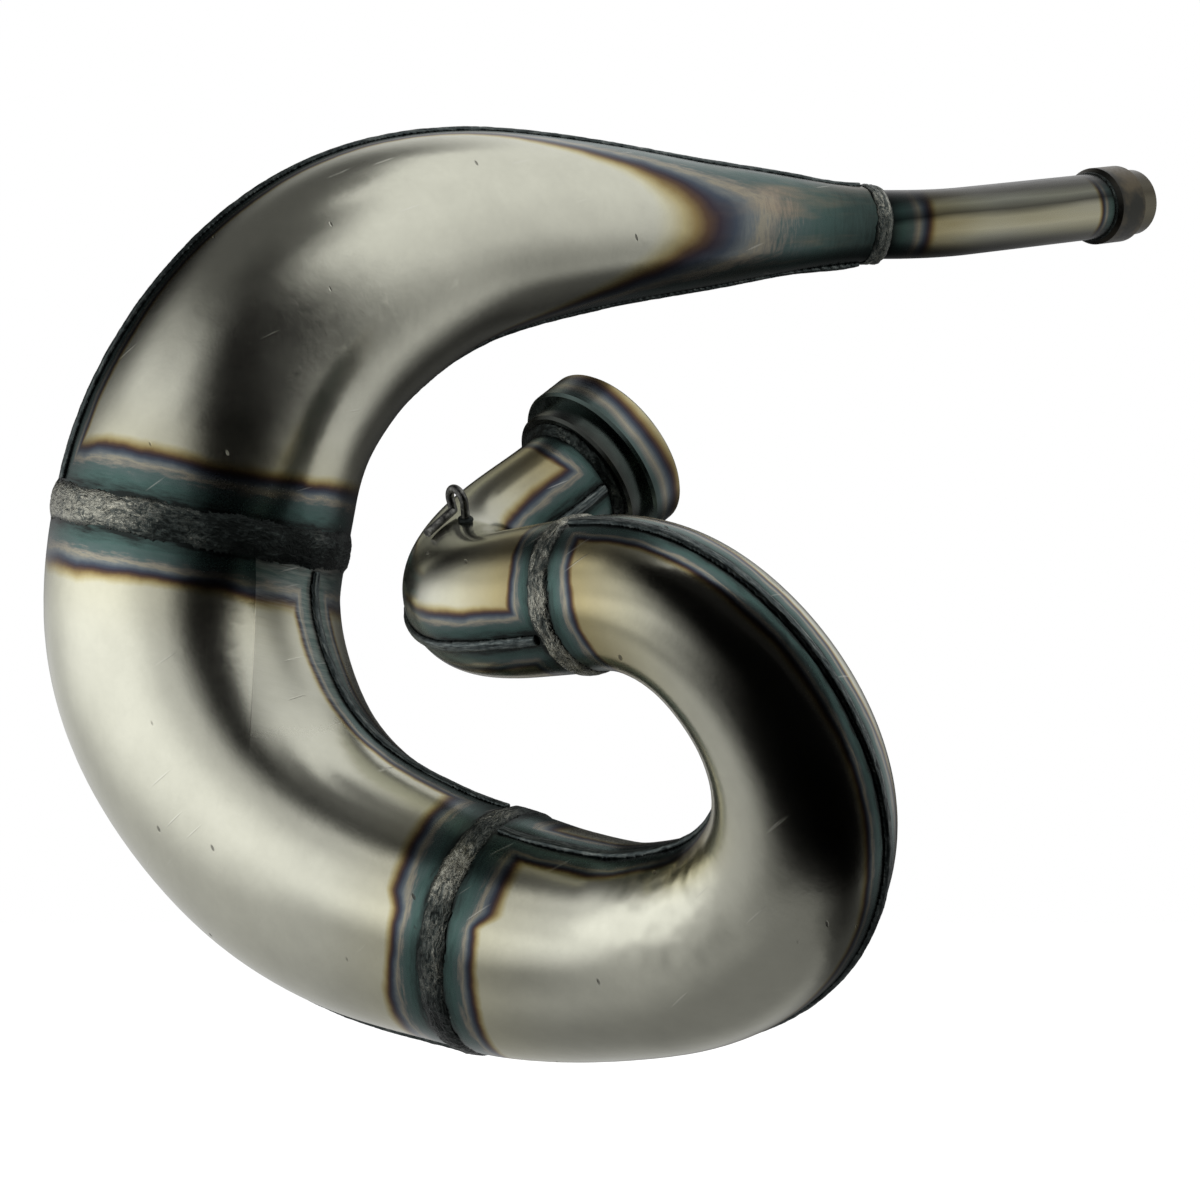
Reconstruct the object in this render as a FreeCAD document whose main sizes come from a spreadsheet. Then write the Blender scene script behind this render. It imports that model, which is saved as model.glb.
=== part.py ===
import FreeCAD, Part
import math
import os
import Sketcher

# A two-stroke expansion chamber, from the turned inlet collar to the end of the outlet tube.
# Four pressed sections follow one another: header, diffuser, belly and rear cone. Each is two half
# shells whose edges meet in a flat parting plane, and its centreline is an arc chain in that plane.
# At each ring weld the next section is turned about the common axis, so the pipe winds in space.
# Gas flows along +X in every section's own frame, and +Y is the inside of the bend.

doc = FreeCAD.newDocument("exhaust_pipe")
sizes = doc.addObject("Spreadsheet::Sheet", "Sizes")
row_count = 0


def size(alias, amount, note=""):
    """Writes one named value in the sheet."""
    global row_count
    row_count += 1
    sizes.set("A%d" % row_count, alias)
    sizes.set("B%d" % row_count, str(amount))
    sizes.setAlias("B%d" % row_count, alias)
    if note:
        sizes.set("C%d" % row_count, note)


# How the inlet sits when the pipe hangs as installed, in degrees.
size("inlet_yaw", -144.1, "flow direction in plan")
size("inlet_pitch", 34, "fall of the flow below the horizontal")
size("inlet_roll", -3.9, "turn of the header's parting plane")

size("sheet_thickness", 1.2, "pressed steel sheet")
size("weld_root", 0.15, "clearance under a weld, so that it never sinks into the sheet")
size("seam_weld_width", 4.6, "foot of a seam weld")
size("seam_weld_crown", 2.6, "flat top of a seam weld")
size("seam_weld_height", 1.4, "seam weld above the sheet")

# The ring welds: outer radius of the sheet there, half the weld's width and its crown.
WELDS = {
    "inlet": (21, 3.2, 3.2),
    "header": (25.6, 4.8, 1.5),
    "belly_front": (43.4, 6, 1.7),
    "belly_rear": (56, 8, 1.8),
    "outlet": (15.4, 4.4, 1.3),
}
for weld, (radius, half_width, height) in WELDS.items():
    size(weld + "_weld_radius", radius, "outer radius of the sheet at the ring weld")
    size(weld + "_weld_land", half_width, "straight land under one side of the ring weld")
    size(weld + "_weld_height", height, "crown of the ring weld")

# Each section lies between two ring welds. It has bays of equal length, and each bay has its own bend
# in degrees. The radii are those at the bays' ends, between the two welds' own.
SECTIONS = {
    "header": {
        "welds": ("inlet", "header"),
        "length": 138.3,
        "turns": [-5.2, 33.6, 38.4, 38.9, 0.5],
        "radii": [21.5, 22.1, 23.4, 24.9],
    },
    "diffuser": {
        "welds": ("header", "belly_front"),
        "length": 287,
        "turns": [54.4, 36.7, 41.3, 32.5, 19.7, 12.2],
        "radii": [26.6, 28.8, 32.1, 35.3, 38.3],
    },
    "belly": {
        "welds": ("belly_front", "belly_rear"),
        "length": 229.5,
        "turns": [10.7, 23, 22, 34.9],
        "radii": [47.3, 50.6, 55],
    },
    "rear_cone": {
        "welds": ("belly_rear", "outlet"),
        "length": 338.6,
        "turns": [23.7, 24.8, 22.4, 7.3, -0.7, 0.9],
        "radii": [52.3, 48.2, 39.9, 30.9, 22.5],
    },
}
size("diffuser_roll", -97.7, "turn about the axis at the header's end")
size("belly_roll", 31, "turn about the axis at the diffuser's end")
size("rear_cone_roll", 53.9, "turn about the axis at the belly's end")
size("outlet_roll", 103.9, "turn about the axis at the rear cone's end")


def gauge_radius(name, step):
    """Alias of the outer radius at a bay's end; the first and the last belong to the ring welds."""
    section = SECTIONS[name]
    if step <= 0:
        return section["welds"][0] + "_weld_radius"
    if step >= len(section["turns"]):
        return section["welds"][1] + "_weld_radius"
    return "%s_radius_%d" % (name, step)


for name, section in SECTIONS.items():
    bays = len(section["turns"])
    first_land, last_land = (weld + "_weld_land" for weld in section["welds"])
    size(name + "_length", section["length"], "along the centreline")
    for bay, turn in enumerate(section["turns"], 1):
        size("%s_turn_%d" % (name, bay), turn, "bend of bay %d" % bay)
    for bay, radius in enumerate(section["radii"], 1):
        size(gauge_radius(name, bay), radius, "outer radius after bay %d" % bay)
    size(name + "_bay", "=(%s_length - %s - %s) / %d" % (name, first_land, last_land, bays), "one bay")
    # Heading, place and radius at every half bay, in the section's own frame.
    size(name + "_heading_0", 0)
    size(name + "_along_0", "=" + first_land)
    size(name + "_aside_0", 0)
    size(name + "_outer_0", "=" + gauge_radius(name, 0))
    for step in range(1, 2 * bays + 1):
        bay = (step + 1) // 2
        at, before = "%s_%%s_%d" % (name, step), "%s_%%s_%d" % (name, step - 1)
        bend = "%s_bay / (%s_turn_%d * pi / 180)" % (name, name, bay)
        turned = (at % "heading", before % "heading")
        size(at % "heading", "=%s + %s_turn_%d / 2" % (before % "heading", name, bay))
        size(at % "along", "=%s + %s * (sin(%s) - sin(%s))" % ((before % "along", bend) + turned))
        size(at % "aside", "=%s - %s * (cos(%s) - cos(%s))" % ((before % "aside", bend) + turned))
        if step % 2 == 0:
            size(at % "outer", "=" + gauge_radius(name, bay))
        else:
            # Between two bays' ends the radius eases along the curve through the four nearest.
            near = "%s + %s" % (gauge_radius(name, bay - 1), gauge_radius(name, bay))
            far = "%s + %s" % (gauge_radius(name, bay - 2), gauge_radius(name, bay + 1))
            size(at % "outer", "=(9 * (%s) - (%s)) / 16" % (near, far))
    last = "%s_%%s_%d" % (name, 2 * bays)
    size(name + "_end_along", "=%s + %s * cos(%s)" % (last % "along", last_land, last % "heading"))
    size(name + "_end_aside", "=%s + %s * sin(%s)" % (last % "aside", last_land, last % "heading"))

size("collar_radius", 31.3, "outer radius of the inlet collar")
size("collar_length", 14, "band of the inlet collar")
size("collar_bore", 27.5, "radius of the socket that slips over the cylinder's stub")
size("collar_socket", 12, "depth of that socket")
size("collar_edge", 1, "chamfer on the collar's edges")
size("hub_radius", 26.8, "hub between the collar's band and the ring weld")
size("hub_length", 8, "length of the hub")

size("outlet_radius", 14, "outer radius of the outlet tube")
size("outlet_wall", 1.5, "wall of the outlet tube")
size("outlet_insert", 4, "tube that reaches into the rear cone")
size("outlet_run_in", 6, "straight run before the bend")
size("outlet_bend_radius", 120, "radius of the bend")
size("outlet_bend", 20.6, "bend in degrees")
size("outlet_run_out", 109.4, "straight run to the tube's end")
size("end_collar_radius", 16.4, "outer radius of the end collar")
size("end_collar_length", 18, "length of the end collar")
size("end_collar_inset", 9, "tube that stands out past the end collar")
size("end_collar_edge", 1.6, "chamfer of the end collar")
size("end_weld_leg", 1.8, "leg of the fillet weld at the end collar")

size("hook_wire_radius", 1.5, "radius of the hook's wire")
size("hook_eye_radius", 4.2, "bend of the eye, at the wire's middle")
size("hook_height", 10.8, "eye above the sheet, at the wire's middle")
size("hook_foot", 3.4, "half the spread of the eye's feet")
size("hook_leg_length", 15, "straight leg laid along the sheet")
size("hook_leg_turn", 15, "turn of the leg in the plane of the sheet")
size("hook_leg_dip", 9, "fall of the leg towards the sheet")
size("hook_setback", 5, "hook ahead of the middle of the elbow")
size("hook_around", 73, "place of the hook around the header")
size("hook_twist", 38, "turn of the eye about the radius")
size("hook_weld_spread", 3.2, "half width of the weld at the eye's foot")
size("hook_weld_height", 1.3, "half height of that weld")
doc.recompute()


def now(alias):
    """Present value of a size, for a sketch's first shape."""
    return float(sizes.get(alias))


def plane_of(body, role):
    """One of a body's own origin planes."""
    for feature in body.Origin.OriginFeatures:
        if feature.Role == role:
            return feature


def new_body(name, pose):
    body = doc.addObject("PartDesign::Body", name)
    body.Label = name
    body.setExpression("Placement", pose)
    return body


def new_sketch(body, name, role):
    sketch = body.newObject("Sketcher::SketchObject", name)
    sketch.AttachmentSupport = [(plane_of(body, role), "")]
    sketch.MapMode = "FlatFace"
    return sketch


def bind(sketch, kind, places, amount, expression):
    """Adds a dimension and ties it to the sheet."""
    index = sketch.addConstraint(Sketcher.Constraint(kind, *places, amount))
    sketch.setExpression("Constraints[%d]" % index, expression)


def move(along, aside, outward="0"):
    return "placement(vector(%s; %s; %s); rotation(vector(1; 0; 0); 0))" % (along, aside, outward)


def turn_about(axis, angle):
    return "placement(vector(0; 0; 0); rotation(vector(%s); %s))" % (axis, angle)


ROLL, PITCH, YAW = "1; 0; 0", "0; 1; 0", "0; 0; 1"

# The pose of each frame along the pipe. The origin is the middle of the inlet's mouth.
INLET = " * ".join(
    (
        turn_about(YAW, "Sizes.inlet_yaw"),
        turn_about(PITCH, "Sizes.inlet_pitch"),
        turn_about(ROLL, "Sizes.inlet_roll"),
    )
)


def after(name, roll):
    """Pose of the frame at the end of a section, turned about the axis for what follows."""
    end = move("Sizes.%s_end_along" % name, "Sizes.%s_end_aside" % name)
    bays = len(SECTIONS[name]["turns"])
    heading = turn_about(YAW, "Sizes.%s_heading_%d" % (name, 2 * bays))
    return "%s_shell_upper.Placement * %s * %s * %s" % (name, end, heading, turn_about(ROLL, roll))


POSES = {
    "header": INLET + " * " + move("Sizes.collar_length + Sizes.hub_length", "0"),
    "diffuser": after("header", "Sizes.diffuser_roll"),
    "belly": after("diffuser", "Sizes.belly_roll"),
    "rear_cone": after("belly", "Sizes.rear_cone_roll"),
}


def stations(name, whole):
    """Cross-sections of a pressed section as expressions. The shells reach the ring welds' middles."""
    steps = 2 * len(SECTIONS[name]["turns"])
    fields = ("along", "aside", "heading", "outer")
    found = [tuple("Sizes.%s_%s_%d" % (name, field, step) for field in fields) for step in range(steps + 1)]
    if whole:
        end = ("Sizes.%s_end_along" % name, "Sizes.%s_end_aside" % name)
        found = [("0", "0", "0", found[0][3])] + found + [end + found[-1][2:]]
    return found


def stand_across(sketch, station):
    """Stands a sketch across the flow at a station."""
    along, aside, heading, _ = station
    place = "placement(vector(%s; 0; %s); rotation(vector(0; 1; 0); %s))" % (aside, along, heading)
    sketch.setExpression("AttachmentOffset", place)


CENTRE = FreeCAD.Vector(0, 0, 0)
UP = FreeCAD.Vector(0, 0, 1)


def arc(radius, first, last, centre=CENTRE):
    return Part.ArcOfCircle(Part.Circle(centre, UP, radius), first, last)


def polar(radius, angle):
    return FreeCAD.Vector(radius * math.cos(angle), radius * math.sin(angle), 0)


def straight(sketch, start, end):
    return sketch.addGeometry(Part.LineSegment(start, end), False)


def join(sketch, *pairs):
    for first, second in pairs:
        sketch.addConstraint(Sketcher.Constraint("Coincident", *first, *second))


def half_ring(sketch, outer, first):
    """Profile of a half shell: two half circles joined in the parting plane."""
    radius = now(outer.replace("Sizes.", ""))
    inner_radius = radius - now("sheet_thickness")
    last = first + math.pi
    outside = sketch.addGeometry(arc(radius, first, last), False)
    inside = sketch.addGeometry(arc(inner_radius, first, last), False)
    left = straight(sketch, polar(radius, last), polar(inner_radius, last))
    right = straight(sketch, polar(inner_radius, first), polar(radius, first))
    for curve in (outside, inside):
        join(sketch, ((curve, 3), (-1, 1)))
        sketch.addConstraint(Sketcher.Constraint("PointOnObject", curve, 1, -1))
        sketch.addConstraint(Sketcher.Constraint("PointOnObject", curve, 2, -1))
    join(sketch, ((left, 1), (outside, 2)), ((left, 2), (inside, 2)))
    join(sketch, ((right, 1), (inside, 1)), ((right, 2), (outside, 1)))
    bind(sketch, "Radius", (outside,), radius, outer)
    bind(sketch, "Radius", (inside,), inner_radius, outer + " - Sizes.sheet_thickness")


def seam_profile(sketch, outer, middle):
    """Profile of a seam weld: a low crown outside the sheet, centred on the parting plane."""
    radius = now(outer.replace("Sizes.", "")) + now("weld_root")
    top = radius + now("seam_weld_height")
    half_foot = now("seam_weld_width") / 2
    half_crown = now("seam_weld_crown") / 2
    wide = math.asin(half_foot / radius)
    narrow = math.asin(half_crown / top)
    low = sketch.addGeometry(arc(radius, middle - wide, middle + wide), False)
    high = sketch.addGeometry(arc(top, middle - narrow, middle + narrow), False)
    for end, sign in ((1, -1), (2, 1)):
        side = straight(sketch, polar(radius, middle + sign * wide), polar(top, middle + sign * narrow))
        join(sketch, ((side, 1), (low, end)), ((side, 2), (high, end)))
    under, over = (2, 1) if middle else (1, 2)
    for curve, half, alias in ((low, half_foot, "width"), (high, half_crown, "crown")):
        join(sketch, ((curve, 3), (-1, 1)))
        bind(sketch, "DistanceY", (curve, under, -1, 1), half, "Sizes.seam_weld_%s / 2" % alias)
        bind(sketch, "DistanceY", (-1, 1, curve, over), half, "Sizes.seam_weld_%s / 2" % alias)
    root = outer + " + Sizes.weld_root"
    bind(sketch, "Radius", (low,), radius, root)
    bind(sketch, "Radius", (high,), top, root + " + Sizes.seam_weld_height")


def loft_along(body, places, draw, option, ruled=False):
    """Draws the profile at every station and lofts through them."""
    sketches = []
    for index, station in enumerate(places):
        sketch = new_sketch(body, "%s_station_%d" % (body.Name, index), "YZ_Plane")
        stand_across(sketch, station)
        draw(sketch, station[3], option)
        sketches.append(sketch)
    doc.recompute()
    loft = body.newObject("PartDesign::AdditiveLoft", body.Name + "_loft")
    loft.Profile = (sketches[0], [""])
    loft.Sections = [(sketch, [""]) for sketch in sketches[1:]]
    loft.Ruled = ruled
    loft.Closed = False
    return body


nodes = []
for name in SECTIONS:
    pose = POSES[name]
    for side, first in (("upper", 0.0), ("lower", math.pi)):
        body = new_body("%s_shell_%s" % (name, side), pose)
        nodes.append(loft_along(body, stations(name, True), half_ring, first))
        pose = "%s_shell_upper.Placement" % name
    for side, middle in (("inner", 0.0), ("outer", math.pi)):
        body = new_body("seam_weld_%s_%s" % (name, side), pose)
        # In the elbow's throat the stations crowd, so that weld runs straight from one to the next.
        throat = (name, side) == ("header", "inner")
        nodes.append(loft_along(body, stations(name, False), seam_profile, middle, throat))


def polyline(sketch, corners, shape):
    """A closed profile of straight lines. Each corner is an (across, up) pair of expressions."""
    lines = []
    for index, corner in enumerate(shape):
        lines.append(straight(sketch, corner, shape[(index + 1) % len(shape)]))
    for index, line in enumerate(lines):
        join(sketch, ((line, 2), (lines[(index + 1) % len(lines)], 1)))
    for line, corner, spot in zip(lines, corners, shape):
        for kind, expression, amount in (("DistanceX", corner[0], spot.x), ("DistanceY", corner[1], spot.y)):
            if expression is None:
                axis = -2 if kind == "DistanceX" else -1
                sketch.addConstraint(Sketcher.Constraint("PointOnObject", line, 1, axis))
            elif amount < 0:
                bind(sketch, kind, (line, 1, -1, 1), -amount, expression)
            else:
                bind(sketch, kind, (-1, 1, line, 1), amount, expression)
    return lines


def revolve(body, sketch):
    """Turns a profile about the body's own X axis, the flow axis there."""
    turned = body.newObject("PartDesign::Revolution", body.Name + "_turned")
    turned.Profile = (sketch, [""])
    turned.ReferenceAxis = (sketch, ["H_Axis"])
    turned.Angle = 360
    return turned


def spot(along, up):
    return FreeCAD.Vector(along, up, 0)


# A ring weld between two pressed sections is a plain crown on the two lands.
for weld, follower in (("header", "diffuser"), ("belly_front", "belly"), ("belly_rear", "rear_cone")):
    body = new_body("ring_weld_" + weld, follower + "_shell_upper.Placement")
    sketch = new_sketch(body, "profile_" + weld, "XY_Plane")
    radius, land, height = (now("%s_weld_%s" % (weld, part)) for part in ("radius", "land", "height"))
    radius += now("weld_root")
    curve = (land * land + height * height) / (2 * height)
    half_angle = math.asin(land / curve)
    middle = spot(0, radius + height - curve)
    foot = straight(sketch, spot(-land, radius), spot(land, radius))
    crown = sketch.addGeometry(arc(curve, math.pi / 2 - half_angle, math.pi / 2 + half_angle, middle), False)
    join(sketch, ((foot, 2), (crown, 1)), ((foot, 1), (crown, 2)))
    alias = "Sizes.%s_weld_" % weld
    sketch.addConstraint(Sketcher.Constraint("Horizontal", foot))
    bind(sketch, "DistanceX", (foot, 1, -1, 1), land, alias + "land")
    bind(sketch, "DistanceX", (-1, 1, foot, 2), land, alias + "land")
    bind(sketch, "DistanceY", (-1, 1, foot, 2), radius, alias + "radius + Sizes.weld_root")
    rule = "(%sland * %sland + %sheight * %sheight) / (2 * %sheight)" % ((alias,) * 5)
    bind(sketch, "Radius", (crown,), curve, rule)
    revolve(body, sketch)
    nodes.append(body)

# The inlet collar: a socket, its band, and a hub that the header is welded to.
body = new_body("inlet_collar", INLET)
sketch = new_sketch(body, "collar_profile", "XY_Plane")
band, whole = "Sizes.collar_length", "Sizes.collar_length + Sizes.hub_length"
passage = "Sizes.inlet_weld_radius - Sizes.sheet_thickness"
edge, rim = "Sizes.collar_edge", "Sizes.collar_radius"
corners = [
    (None, "Sizes.collar_bore"),
    (None, rim + " - " + edge),
    (edge, rim),
    (band + " - " + edge, rim),
    (band, rim + " - " + edge),
    (band, "Sizes.hub_radius"),
    (whole + " - " + edge, "Sizes.hub_radius"),
    (whole, "Sizes.hub_radius - " + edge),
    (whole, passage),
    ("Sizes.collar_socket", passage),
    ("Sizes.collar_socket", "Sizes.collar_bore"),
]
long_now = now("collar_length")
whole_now = long_now + now("hub_length")
rim_now, edge_now, hub_now = now("collar_radius"), now("collar_edge"), now("hub_radius")
inner_now = now("inlet_weld_radius") - now("sheet_thickness")
shape = [
    spot(0, now("collar_bore")),
    spot(0, rim_now - edge_now),
    spot(edge_now, rim_now),
    spot(long_now - edge_now, rim_now),
    spot(long_now, rim_now - edge_now),
    spot(long_now, hub_now),
    spot(whole_now - edge_now, hub_now),
    spot(whole_now, hub_now - edge_now),
    spot(whole_now, inner_now),
    spot(now("collar_socket"), inner_now),
    spot(now("collar_socket"), now("collar_bore")),
]
polyline(sketch, corners, shape)
revolve(body, sketch)
nodes.append(body)

# The weld in the corner between the hub's face and the header.
body = new_body("ring_weld_inlet", "header_shell_upper.Placement")
sketch = new_sketch(body, "inlet_weld_profile", "XY_Plane")
foot = "Sizes.inlet_weld_radius + Sizes.weld_root"
top = foot + " + Sizes.inlet_weld_height"
corners = [
    (None, foot),
    (None, top),
    ("Sizes.inlet_weld_land / 2", foot + " + Sizes.inlet_weld_height * 0.7"),
    ("Sizes.inlet_weld_land", foot),
]
foot_now = now("inlet_weld_radius") + now("weld_root")
rise_now, land_now = now("inlet_weld_height"), now("inlet_weld_land")
shape = [
    spot(0, foot_now),
    spot(0, foot_now + rise_now),
    spot(land_now / 2, foot_now + rise_now * 0.7),
    spot(land_now, foot_now),
]
polyline(sketch, corners, shape)
revolve(body, sketch)
nodes.append(body)

# The outlet tube starts inside the rear cone's end, bends once and runs straight to its end.
body = new_body("outlet_tube", after("rear_cone", "Sizes.outlet_roll"))
OUTLET = "outlet_tube.Placement"
spine = new_sketch(body, "outlet_spine", "XY_Plane")
insert, run_in, run_out = now("outlet_insert"), now("outlet_run_in"), now("outlet_run_out")
bend_radius, bend = now("outlet_bend_radius"), math.radians(now("outlet_bend"))
turn_start = spot(run_in, 0)
turn_centre = spot(run_in, bend_radius)
turn_end = turn_centre + polar(bend_radius, bend - math.pi / 2)
entry = straight(spine, spot(-insert, 0), turn_start)
bow = spine.addGeometry(arc(bend_radius, -math.pi / 2, bend - math.pi / 2, turn_centre), False)
leave = straight(spine, turn_end, turn_end + polar(run_out, bend))
spine.addConstraint(Sketcher.Constraint("PointOnObject", entry, 1, -1))
spine.addConstraint(Sketcher.Constraint("PointOnObject", entry, 2, -1))
spine.addConstraint(Sketcher.Constraint("Tangent", entry, 2, bow, 1))
spine.addConstraint(Sketcher.Constraint("Tangent", bow, 2, leave, 1))
bind(spine, "DistanceX", (entry, 1, -1, 1), insert, "Sizes.outlet_insert")
bind(spine, "DistanceX", (-1, 1, entry, 2), run_in, "Sizes.outlet_run_in")
bind(spine, "Radius", (bow,), bend_radius, "Sizes.outlet_bend_radius")
bind(spine, "Angle", (-1, 1, leave, 1), bend, "Sizes.outlet_bend * 1 deg")
bind(spine, "Distance", (leave,), run_out, "Sizes.outlet_run_out")
ring = new_sketch(body, "outlet_ring", "YZ_Plane")
ring.setExpression(
    "AttachmentOffset",
    "placement(vector(0; 0; -Sizes.outlet_insert); rotation(vector(0; 1; 0); 0))",
)
for alias, expression in (
    ("outlet_radius", "Sizes.outlet_radius"),
    ("outlet_wall", "Sizes.outlet_radius - Sizes.outlet_wall"),
):
    radius = now("outlet_radius") - (now("outlet_wall") if alias == "outlet_wall" else 0)
    circle = ring.addGeometry(Part.Circle(CENTRE, UP, radius), False)
    join(ring, ((circle, 3), (-1, 1)))
    bind(ring, "Radius", (circle,), radius, expression)
doc.recompute()
pipe = body.newObject("PartDesign::AdditivePipe", "outlet_pipe")
pipe.Profile = (ring, [""])
pipe.Spine = (spine, ["Edge1", "Edge2", "Edge3"])
nodes.append(body)

# The weld at the rear cone's end is a doubled crown: one on the cone's land, one on the tube.
body = new_body("ring_weld_outlet", OUTLET)
sketch = new_sketch(body, "outlet_weld_profile", "XY_Plane")
land, crown = "Sizes.outlet_weld_land", "Sizes.outlet_weld_height"
wide, slim = "Sizes.outlet_weld_radius + Sizes.weld_root", "Sizes.outlet_radius"
land_now, crown_now = now("outlet_weld_land"), now("outlet_weld_height")
wide_now, slim_now = now("outlet_weld_radius") + now("weld_root"), now("outlet_radius")
corners = [
    (None, slim),
    (None, wide),
    (land, wide),
    (land + " * 0.75", wide + " + " + crown + " * 0.8"),
    (land + " * 0.35", wide + " + " + crown),
    (None, wide + " + " + crown + " * 0.45"),
    (land + " * 0.3", wide + " + " + crown + " * 0.8"),
    (land + " * 0.75", wide + " + " + crown + " * 0.3"),
    (land, slim),
]
shape = [
    spot(0, slim_now),
    spot(0, wide_now),
    spot(-land_now, wide_now),
    spot(-land_now * 0.75, wide_now + crown_now * 0.8),
    spot(-land_now * 0.35, wide_now + crown_now),
    spot(0, wide_now + crown_now * 0.45),
    spot(land_now * 0.3, wide_now + crown_now * 0.8),
    spot(land_now * 0.75, wide_now + crown_now * 0.3),
    spot(land_now, slim_now),
]
polyline(sketch, corners, shape)
revolve(body, sketch)
nodes.append(body)

# The end collar and its fillet weld sit on the tube's straight run.
TUBE_END = " * ".join(
    (
        OUTLET,
        move(
            "Sizes.outlet_run_in + Sizes.outlet_bend_radius * sin(Sizes.outlet_bend)"
            " + Sizes.outlet_run_out * cos(Sizes.outlet_bend)",
            "Sizes.outlet_bend_radius * (1 - cos(Sizes.outlet_bend))"
            " + Sizes.outlet_run_out * sin(Sizes.outlet_bend)",
        ),
        turn_about(YAW, "Sizes.outlet_bend"),
    )
)
body = new_body("outlet_end_collar", TUBE_END)
sketch = new_sketch(body, "end_collar_profile", "XY_Plane")
front = "Sizes.end_collar_inset"
back = front + " + Sizes.end_collar_length"
bore, outside, edge = "Sizes.outlet_radius", "Sizes.end_collar_radius", "Sizes.end_collar_edge"
front_now = now("end_collar_inset")
back_now = front_now + now("end_collar_length")
bore_now, outside_now, edge_now = now("outlet_radius"), now("end_collar_radius"), now("end_collar_edge")
corners = [
    (back, bore),
    (back, outside + " - " + edge),
    (back + " - " + edge, outside),
    (front + " + " + edge, outside),
    (front, outside + " - " + edge),
    (front, bore),
]
shape = [
    spot(-back_now, bore_now),
    spot(-back_now, outside_now - edge_now),
    spot(-back_now + edge_now, outside_now),
    spot(-front_now - edge_now, outside_now),
    spot(-front_now, outside_now - edge_now),
    spot(-front_now, bore_now),
]
polyline(sketch, corners, shape)
revolve(body, sketch)
nodes.append(body)

body = new_body("ring_weld_end_collar", TUBE_END)
sketch = new_sketch(body, "end_weld_profile", "XY_Plane")
leg, leg_now = "Sizes.end_weld_leg", now("end_weld_leg")
corners = [(back, bore), (back + " + " + leg, bore), (back, bore + " + " + leg + " * 0.55")]
shape = [
    spot(-back_now, bore_now),
    spot(-back_now - leg_now, bore_now),
    spot(-back_now, bore_now + leg_now * 0.55),
]
polyline(sketch, corners, shape)
revolve(body, sketch)
nodes.append(body)

# The spring hook: a wire eye that stands on the header, and a straight leg laid along the sheet.
HOOK = " * ".join(
    (
        "header_shell_upper.Placement",
        move("Sizes.header_along_5", "Sizes.header_aside_5"),
        turn_about(YAW, "Sizes.header_heading_5"),
        turn_about(ROLL, "Sizes.hook_around"),
        move("-Sizes.hook_setback", "Sizes.header_outer_5"),
        turn_about(PITCH, "Sizes.hook_twist"),
    )
)
body = new_body("hook_wire", HOOK)
wire, eye = now("hook_wire_radius"), now("hook_eye_radius")
height, foot = now("hook_height"), now("hook_foot")
section = new_sketch(body, "hook_section", "YZ_Plane")
circle = section.addGeometry(Part.Circle(spot(height, 0), UP, wire), False)
section.addConstraint(Sketcher.Constraint("PointOnObject", circle, 3, -1))
bind(section, "DistanceX", (-1, 1, circle, 3), height, "Sizes.hook_height")
bind(section, "Radius", (circle,), wire, "Sizes.hook_wire_radius")
spines = []
for side, sign in (("near", 1), ("far", -1)):
    spine = new_sketch(body, "hook_spine_" + side, "XY_Plane")
    centre = spot(0, height - eye)
    bottom = spot(sign * foot, -wire / 2 if sign > 0 else wire * 1.4)
    reach = (bottom - centre).Length
    lean = math.atan2(bottom.y - centre.y, bottom.x - centre.x) + sign * math.acos(eye / reach)
    first, last = sorted((math.pi / 2, lean if sign > 0 else lean % (2 * math.pi)))
    bow = spine.addGeometry(arc(eye, first, last, centre), False)
    touch = centre + polar(eye, lean)
    drop = straight(spine, touch, bottom)
    top_end, low_end = (2, 1) if sign > 0 else (1, 2)
    spine.addConstraint(Sketcher.Constraint("PointOnObject", bow, 3, -2))
    spine.addConstraint(Sketcher.Constraint("PointOnObject", bow, top_end, -2))
    spine.addConstraint(Sketcher.Constraint("Tangent", bow, low_end, drop, 1))
    bind(spine, "Radius", (bow,), eye, "Sizes.hook_eye_radius")
    bind(spine, "DistanceY", (-1, 1, bow, top_end), height, "Sizes.hook_height")
    if sign > 0:
        bind(spine, "DistanceX", (-1, 1, drop, 2), foot, "Sizes.hook_foot")
        bind(spine, "DistanceY", (drop, 2, -1, 1), wire / 2, "Sizes.hook_wire_radius / 2")
    else:
        bind(spine, "DistanceX", (drop, 2, -1, 1), foot, "Sizes.hook_foot")
        bind(spine, "DistanceY", (-1, 1, drop, 2), wire * 1.4, "Sizes.hook_wire_radius * 1.4")
    spines.append(spine)
doc.recompute()
for spine in spines:
    pipe = body.newObject("PartDesign::AdditivePipe", spine.Name + "_pipe")
    pipe.Profile = (section, [""])
    pipe.Spine = (spine, ["Edge1", "Edge2"])
knee = body.newObject("PartDesign::AdditiveSphere", "hook_knee")
knee.setExpression("Radius", "Sizes.hook_wire_radius")
knee_spot = move("-Sizes.hook_foot", "Sizes.hook_wire_radius * 1.4")
knee.setExpression("Placement", knee_spot)
leg = body.newObject("PartDesign::AdditiveCylinder", "hook_leg")
leg.setExpression("Radius", "Sizes.hook_wire_radius")
leg.setExpression("Height", "Sizes.hook_leg_length")
leg.setExpression(
    "Placement",
    " * ".join((knee_spot, turn_about(PITCH, "Sizes.hook_leg_turn"), turn_about(ROLL, "Sizes.hook_leg_dip"))),
)

weld = new_body("hook_weld_lump", HOOK)
lump = weld.newObject("PartDesign::AdditiveEllipsoid", "hook_lump")
lump.setExpression("Radius1", "Sizes.hook_weld_height")
lump.setExpression("Radius2", "Sizes.hook_weld_spread")
lump.setExpression("Radius3", "Sizes.hook_weld_spread * 0.8")
lump.setExpression(
    "Placement",
    move("Sizes.hook_foot", "Sizes.hook_weld_height * 0.3") + " * " + turn_about(ROLL, "-90"),
)
doc.recompute()


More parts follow.
